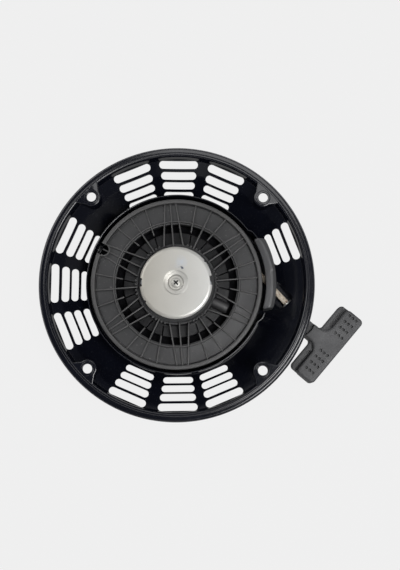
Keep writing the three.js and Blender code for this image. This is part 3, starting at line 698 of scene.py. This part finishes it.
# ---- reel ------------------------------------------------------------------------------------------
def reel_profile():
    """The reel's closed (r, z) outline, each corner with its rounding."""
    low, top = GROOVE
    corners = [
        # spring room and drum skirt
        (REEL_BORE_R, TROUGH_Z, 0), (SPRING_ROOM_R, TROUGH_Z, 0), (SPRING_ROOM_R, SKIRT_LOW, 0.5),
        (SKIRT_R, SKIRT_LOW, 0.5), (SKIRT_R, REEL_LOW, 0),
        # lower flange, rope groove and upper flange
        (REEL_R, REEL_LOW, 0.5), (REEL_R, low, 0.4), (DRUM_R, low, 0), (DRUM_R, top, 0), (REEL_R, top, 0.4),
        (REEL_R, REEL_TOP, 0.8), (REEL_R - RIM_LIP, REEL_TOP, 0.5), (REEL_R - 3.7, BAND_Z - 0.9, 0.3),
        (REEL_R - 4.5, BAND_Z - 0.9, 0.3), (REEL_R - 4.7, BAND_Z, 0),
        # mid ring, trough and recess
        (MID_RING_R, BAND_Z, 0.3), (MID_RING_R - 0.1, RIB_TOP + 0.3, 0.35),
        (MID_RING_R - 1.1, RIB_TOP + 0.3, 0.35), (MID_RING_R - 1.2, BAND_Z - 0.4, 0),
        (DRUM_R - 1.6, BAND_Z - 0.5, 0.3), (DRUM_R - 1.8, TROUGH_Z, 0), (TROUGH_IN_R, TROUGH_Z, 0),
        (TROUGH_IN_R, RECESS_Z, 0.5),
        # hub
        (HUB_R, RECESS_Z, 0.8), (HUB_R - 0.4, HUB_TOP, 0.4), (HUB_IN_R + 0.2, HUB_TOP, 0.4),
        (HUB_IN_R, HUB_FLOOR, 0), (14, HUB_FLOOR, 0), (14, REEL_TOP, 0.4), (REEL_BORE_R, REEL_TOP, 0.4),
    ]
    return rounded([(r, z) for r, z, _ in corners], dict(enumerate(radius for _, _, radius in corners)), 3)


def bar(deg, inner, outer, side_inner, side_outer, low, high):
    half = RIB_THICK / 2
    outline = [(inner, side_inner - half), (outer, side_outer - half), (outer, side_outer + half),
               (inner, side_inner + half)]
    return prism("bar", turn(outline, deg), low, high)


def rib(deg, inner, outer, side_inner=0.0, side_outer=0.0):
    """A rib of the ribbed band, which goes on across the recess if it starts inside the mid ring."""
    def side(r):
        return side_inner + (side_outer - side_inner) * (r - inner) / (outer - inner)

    band = max(inner, MID_RING_R - 0.6)
    made = [bar(deg, band, outer, side(band), side_outer, BAND_Z - 0.5, RIB_TOP)]
    if inner < band:
        low = RECESS_Z - 0.5 if inner < HUB_R else BAND_Z - 3
        made.append(bar(deg, inner, DRUM_R - 0.1, side_inner, side(DRUM_R - 0.1), low, RIB_TOP))
    return made


def knuckle(deg):
    """A small moulded boss on the edge of the hub wall."""
    x, y = polar(HUB_R - 0.4, deg)
    shape = rounded([(0, RECESS_Z), (1.1, RECESS_Z), (0.9, RIB_TOP - 0.4), (0, RIB_TOP - 0.4)], {2: 0.4}, 3)
    return moved(turned("knuckle", shape, 16), to=(x, y, 0))


def knot_boss():
    """The half-round boss that holds the rope's knot, lying along its ray on the recess."""
    rings = []
    for r, scale in ((HUB_R - 0.5, 1.0), (43.2, 1.0), (45.6, 0.97), (46.8, 0.84), (47.2, 0.6)):
        shape = [(-4.7 * scale, RECESS_Z - 0.4)] + [
            (4.7 * scale * math.cos(math.radians(180 - 15 * k)),
             RECESS_Z + 2.4 + 4.9 * scale * math.sin(math.radians(15 * k))) for k in range(13)
        ] + [(4.7 * scale, RECESS_Z - 0.4)]
        ca, sa = polar(1, KNOT_DEG)
        rings.append([(r * ca - t * sa, r * sa + t * ca, z) for t, z in shape])
    return swept("knot_boss", rings)


def reel_ribs():
    """The bars of the rib pattern, which repeats six times, and the knuckles on the edge of the hub wall."""
    hub_end, trough_end = HUB_IN_R + 0.4, TROUGH_IN_R - 0.2
    mid_end, lip_end = MID_RING_R - 0.6, REEL_R - RIM_LIP - 0.2
    bars, knuckles = [], []
    for k in range(6):
        main, mid = 5 + 60 * k, 35 + 60 * k
        over_knot = mid - 360 == KNOT_DEG
        bars += rib(main, hub_end, lip_end)
        bars += rib(mid, mid_end if over_knot else hub_end, lip_end)
        for side in (-1, 1):
            bars += rib(mid, hub_end, lip_end, side * 7.9, side * 4.6)
            bars += rib(main, trough_end, lip_end - 0.2, side * 7.5, side * 14.1)
            knuckles += [knuckle(main + side * 4.2), knuckle(main + side * 9.6)]
    return bars, knuckles


def rim_notch(body):
    """Cuts the U-shaped notch in the rim, and gives the lip that stands round it."""
    half, lip, centre = 4.6, 0.55, REEL_R - 3.6
    notch = [(centre + 14, half), *arc(half, 90, 270, 14, (centre, 0)), (centre + 14, -half)]
    cut(body, prism("notch", turn(notch, NOTCH_DEG), GROOVE[1] - 1, REEL_TOP + 2))
    near, far, aside = REEL_R - 2.1, REEL_R - 0.5, half + lip
    line = [(far, aside), (near, aside), *arc(aside, 90, 270, 18, (centre, 0)), (near, -aside), (far, -aside)]
    return wall("notch_lip", turn(line, NOTCH_DEG), 2 * lip, GROOVE[1] + 0.2, REEL_TOP - 0.15, 0.35)


def reel():
    body = turned("reel_body", reel_profile(), ROUND)
    lip = rim_notch(body)
    slits = []
    for k in range(6):
        for side in (-1, 1):
            near, far = side * 4.9, side * 7.4
            slit = [(35.3, near - 0.55), (43.2, far - 0.6), (43.2, far + 0.6), (35.3, near + 0.55)]
            slits.append(prism("slit", turn(slit, 5 + 60 * k), RECESS_Z - 3.5, RECESS_Z + 2))
    cut(body, merged("slits", slits))
    bars, knuckles = reel_ribs()
    ribs = soften(merged("ribs", bars), 0.28, 2, 50)
    section = [(0, 33.5), (4, 33.5), (4, REEL_TOP), (2, REEL_TOP), (2, 43.3), (0, 43.3)]
    section = rounded(section, {2: 0.4, 4: 0.4}, 3)
    posts = []
    for side in (1, -1):
        place = (side * PAWL_PIVOT[0], side * PAWL_PIVOT[1], 0)
        posts.append(moved(turned("pawl_post", section, 28), to=place))
    made = merged("rope_reel", [body, lip, ribs, knot_boss(), *knuckles, *posts])
    return dress(shade(made, 34), REEL_PLASTIC, "reel", "reel_plastic", "reel")


def wound_rope():
    """The turns of rope in the reel's groove, in two layers: up the drum, then down over the first layer."""
    turns, rise, first_r, layer_step = 4.4, 3.4, DRUM_R + 3.1, 2.6
    path = []
    steps = int(turns * (120))
    for i in range(steps + 1):
        t = turns * i / steps
        climbed = t if t < turns / 2 else turns - t
        height = GROOVE[0] + 3.3 + min(7.4, rise * climbed)
        ease = max(0.0, min(1.0, (t - 2.1) / 0.2))
        path.append(Vector((*polar(first_r + layer_step * ease, 120 - 360 * t), height)))
    return dress(shade(braided("wound_rope", path, 12), 60), ROPE, "reel", "rope", "rope_coil")


def ratchet_guide():
    top, t = GUIDE_TOP, 1.2
    profile = [
        (2.9, top - 2.3), (5.6, top - 2.3), (6.6, top - 0.8), (9.2, top - 0.5), (10.4, top), (27.2, top),
        (28.7, top - 0.45), (GUIDE_R, top - 1.6), (GUIDE_R, top - 3.0), (28.2, top - 3.0), (28.1, top - 2),
        (27.2, top - t), (10.9, top - t), (9.0, top - t - 0.6), (6.6, top - 2.3 - t), (2.9, top - 2.3 - t),
    ]
    radii = {1: 0.4, 2: 0.7, 3: 0.9, 4: 0.7, 5: 1.6, 6: 1, 7: 0.8, 8: 0.3, 9: 0.3, 10: 0.6, 11: 0.8, 12: 0.8}
    body = turned("ratchet_cover", rounded(profile, radii, 4), 120)
    for start, end, depth in ((-3, 12, 27.9), (173, 187, 27.9), (35.5, 39, 28.9), (-150, -146, 28.9)):
        outline = [*arc(depth, start, end, 6), *arc(33, end, start, 6)]
        cut(body, prism("notch", rounded(outline, {0: 0.6, 6: 0.6}, 3), top - 4, top + 1))
    away, aside = polar(13, PAWL_DEG), polar(-5, PAWL_DEG + 90)
    x, y = (PAWL_PIVOT[k] + away[k] + aside[k] for k in (0, 1))
    lug = [(0, 40), (1.35, 40), (1.35, top - t + 0.2), (0, top - t + 0.2)]
    lugs = [moved(turned("lug", lug, 20), to=(side * x, side * y, 0)) for side in (1, -1)]
    made = merged("ratchet_cover", [body, *lugs])
    return dress(shade(made, 40), ZINC, "ratchet_guide", "zinc_plate", "ratchet_guide")


# ---- handle and rope -------------------------------------------------------------------------------
def tee(inner, fillet, corner):
    """Outline of the T handle: X the way it faces, Y along its bar."""
    half = [(STEM_TIP, STEM_HALF), (inner, STEM_HALF), (inner, BAR_HALF), (BAR_OUT, BAR_HALF)]
    points = half + [(x, -y) for x, y in reversed(half)]
    radii = {0: 1.4, 1: fillet, 2: corner, 3: corner, 4: corner, 5: corner, 6: fillet, 7: 1.4}
    return rounded(points, radii, 10)


def finger_grooves():
    """The shallow grooves between the handle's core and its plates, on both faces of both arms."""
    grooves = []
    for sign in (1, -1):
        outline = [(-8.6, sign * (BAR_HALF + 2)), (-5.35, sign * (BAR_HALF + 2)), (-5.35, sign * 15.5),
                   (-6.3, sign * 12.2), (-8.6, sign * 13.4)]
        outline = rounded(outline, {2: 2, 3: 1.0, 4: 1.2}, 4)
        for face in (1, -1):
            low, high = (CORE_Z - 2.4, 14) if face > 0 else (-14, -CORE_Z + 2.4)
            grooves.append(soften(prism("groove", outline, low, high), 0.5, 2, 55))
    return merged("grooves", grooves)


def dimples():
    """Two patches of three by four blind holes in each face of the handle."""
    pitch, top_r, low_r, deep = 6.12, 1.35, 0.95, 2.2
    pits = []
    for face in (1, -1):
        for start in (11.4, -25.6):
            for row in range(4):
                for column in (-0.6, 2.8, 6.2):
                    pit = turned("dimple", [(0, -deep), (low_r, -deep), (top_r, 0.6), (0, 0.6)], 18)
                    pit.data.transform(Matrix.Scale(face, 4, (0, 0, 1)))
                    pits.append(moved(pit, to=(column, start + pitch * row, face * PLATE_Z)))
    return merged("dimples", pits)


def handle_grip():
    core = soften(prism("core", tee(-BAR_OUT, 3.5, 4), -CORE_Z, CORE_Z), 1.3, 4, 55, False)
    plates = soften(prism("plates", tee(-5.2, 8, 3.6), -PLATE_Z, PLATE_Z), 1.7, 5, 55, False)
    stem_end = [(STEM_TIP - 12, -12), (-19.5, -12), (-16.2, 0), (-19.5, 12), (STEM_TIP - 12, 12)]
    stem_end = rounded(stem_end, {2: 10}, 10)
    for low, high in ((CORE_Z, 20), (-20, -CORE_Z)):
        cut(plates, prism("stem_end", stem_end, low, high))
    cut(core, finger_grooves())
    cut(core, plates, "UNION")
    cut(core, dimples())
    bore = turned("bore", [(0, STEM_TIP - 1), (3.6, STEM_TIP - 1), (3.6, 3), (0, 3)], 32)
    cut(core, moved(bore, tip=True))
    pocket = turned("pocket", [(0, 1.2), (5, 1.2), (5, BAR_OUT + 1), (0, BAR_OUT + 1)], 36)
    cut(core, moved(pocket, tip=True))
    core.name = "pull_handle"
    shade(moved(core, HANDLE_DEG, HANDLE), 38)
    return dress(core, HANDLE_PLASTIC, "handle", "handle_plastic", "handle_grip")


def handle_plug():
    profile = rounded([(0, 9.9), (4.7, 9.9), (4.7, 11.4), (3.6, 11.7), (0, 11.7)], {2: 0.4, 3: 1}, 3)
    made = moved(turned("plug", profile, 40), HANDLE_DEG, HANDLE, tip=True)
    made.name = "handle_end_plug"
    return dress(shade(made), HANDLE_PLASTIC, "handle", "handle_plastic", "handle_plug")


def ropes():
    inner = steps_along((*rope_point(27, ROPE_OFFSET), ROPE_Z), (*rope_point(78.5, ROPE_OFFSET), ROPE_Z), 0.4)
    run = braided("rope_in_case", inner, 24)
    dress(shade(run, 60), ROPE, "case", "rope", "rope_run")
    places = [(*rope_point(78.4, ROPE_OFFSET), ROPE_Z), (*rope_point(84, ROPE_OFFSET - 0.2), ROPE_Z),
              (*rope_point(88, ROPE_OFFSET - 1.5), ROPE_Z + 0.4), handle_point(STEM_TIP + 1, 0, -0.1),
              handle_point(STEM_TIP + 8, 0), handle_point(-10, 0), handle_point(1.5, 0)]
    out = braided("pull_rope", smooth_line(places, 14), 24)
    dress(shade(out, 60), ROPE, None, "rope", "rope_tail")
    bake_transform(out)


# ---- the CAD nodes that stay -----------------------------------------------------------------------
def keep_nodes():
    finishes = {
        "post_plate": TURNED_STEEL, "centre_post": TURNED_STEEL, "thrust_washer": TURNED_STEEL,
        "hub_bushing": TURNED_STEEL, "pawl_a": TURNED_STEEL, "pawl_b": TURNED_STEEL, "rope_knot": ROPE,
        "handle_knot": ROPE, "return_spring": SPRING_STEEL, "spring_retainer": SPRING_STEEL,
        "friction_spring": SPRING_STEEL, "pawl_spring_a": SPRING_STEEL, "pawl_spring_b": SPRING_STEEL,
    }
    for name, material in finishes.items():
        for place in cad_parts[name].material_slots:
            place.material = material


# ---- floor, light and camera -----------------------------------------------------------------------
def studio():
    half = STUDIO_HALF
    corners = [(x, y, STUDIO_Z) for x, y in ((-half, -half), (half, -half), (half, half), (-half, half))]
    floor = make("floor", corners, [(0, 1, 2, 3)])
    material = bpy.data.materials.new("pale_floor")
    material.use_nodes = True
    tree = material.node_tree
    shader = tree.nodes["Principled BSDF"]
    shader.inputs["Base Color"].default_value = colour(0.02, 0.02, 0.02)
    shader.inputs["Roughness"].default_value = 0.9
    shader.inputs["Specular IOR Level"].default_value = 0.0
    shader.inputs["Emission Color"].default_value = colour(1, 1, 1)
    seen = add(tree, "ShaderNodeLightPath").outputs["Is Camera Ray"]
    tree.links.new(spread(tree, seen, 0.3, 0.845, 0, 1), shader.inputs["Emission Strength"])
    floor.data.materials.append(material)

    world = bpy.data.worlds.new("studio")
    bpy.context.scene.world = world
    world.use_nodes = True
    tree = world.node_tree
    way = add(tree, "ShaderNodeTexCoord").outputs["Generated"]
    height = add(tree, "ShaderNodeSeparateXYZ", [("Vector", way)]).outputs["Z"]
    horizon, sky = colour(2.4, 2.4, 2.5), colour(0.055, 0.058, 0.075)
    shown = mixed(tree, spread(tree, height, 0, 1, 0.05, 0.20), horizon, sky)
    tree.links.new(shown, tree.nodes["Background"].inputs["Color"])

    for name, place, size, power in (
        ("key", (0.60, -0.48, 1.30), 0.9, 10.0),
        ("sheen", (0.40, -0.22, 1.25), 0.4, 5.0),
        ("fill", (-0.80, 0.55, 0.95), 0.9, 7.0),
        ("top", (0.05, 0.36, 1.15), 0.35, 0.9),
        ("front", (-0.15, -1.25, 0.52), 0.6, 0.3),
    ):
        lamp = bpy.data.lights.new(name, "AREA")
        lamp.shape, lamp.size, lamp.energy = "SQUARE", size, power
        obj = bpy.data.objects.new(name, lamp)
        obj.location = place
        obj.rotation_euler = (Vector((0, 0, 0.03)) - Vector(place)).to_track_quat("-Z", "Y").to_euler()
        bpy.context.scene.collection.objects.link(obj)


def camera():
    """Almost straight down on the engine side, tipped seven degrees and turned a little."""
    aim = Vector((0, 0, FLANGE_Z * MM))
    away = Vector((math.tan(math.radians(2.36)), math.tan(math.radians(-7.21)), 1)).normalized()
    up = Vector((0, 1, 0))
    up = (up - away * up.dot(away)).normalized()
    right = up.cross(away)
    roll = math.radians(0.72)
    x = right * math.cos(roll) + up * math.sin(roll)
    y = up * math.cos(roll) - right * math.sin(roll)
    data = bpy.data.cameras.new("camera")
    data.sensor_fit, data.sensor_width = "HORIZONTAL", 36.0
    data.lens = 93.6
    data.shift_x, data.shift_y = 0.0603, -0.0062
    data.clip_start, data.clip_end = 0.01, 50
    obj = bpy.data.objects.new("camera", data)
    turned_to = Matrix((x, y, away)).transposed().to_4x4()
    obj.matrix_world = Matrix.Translation(aim + away * 0.85) @ turned_to
    bpy.context.scene.collection.objects.link(obj)
    bpy.context.scene.camera = obj


case_cover()
guard_ring()
rope_guide()
rope_eyelet()
centre_screw()
reel()
wound_rope()
ratchet_guide()
handle_grip()
handle_plug()
ropes()
keep_nodes()
studio()
camera()
bpy.context.scene.view_settings.view_transform = "Standard"
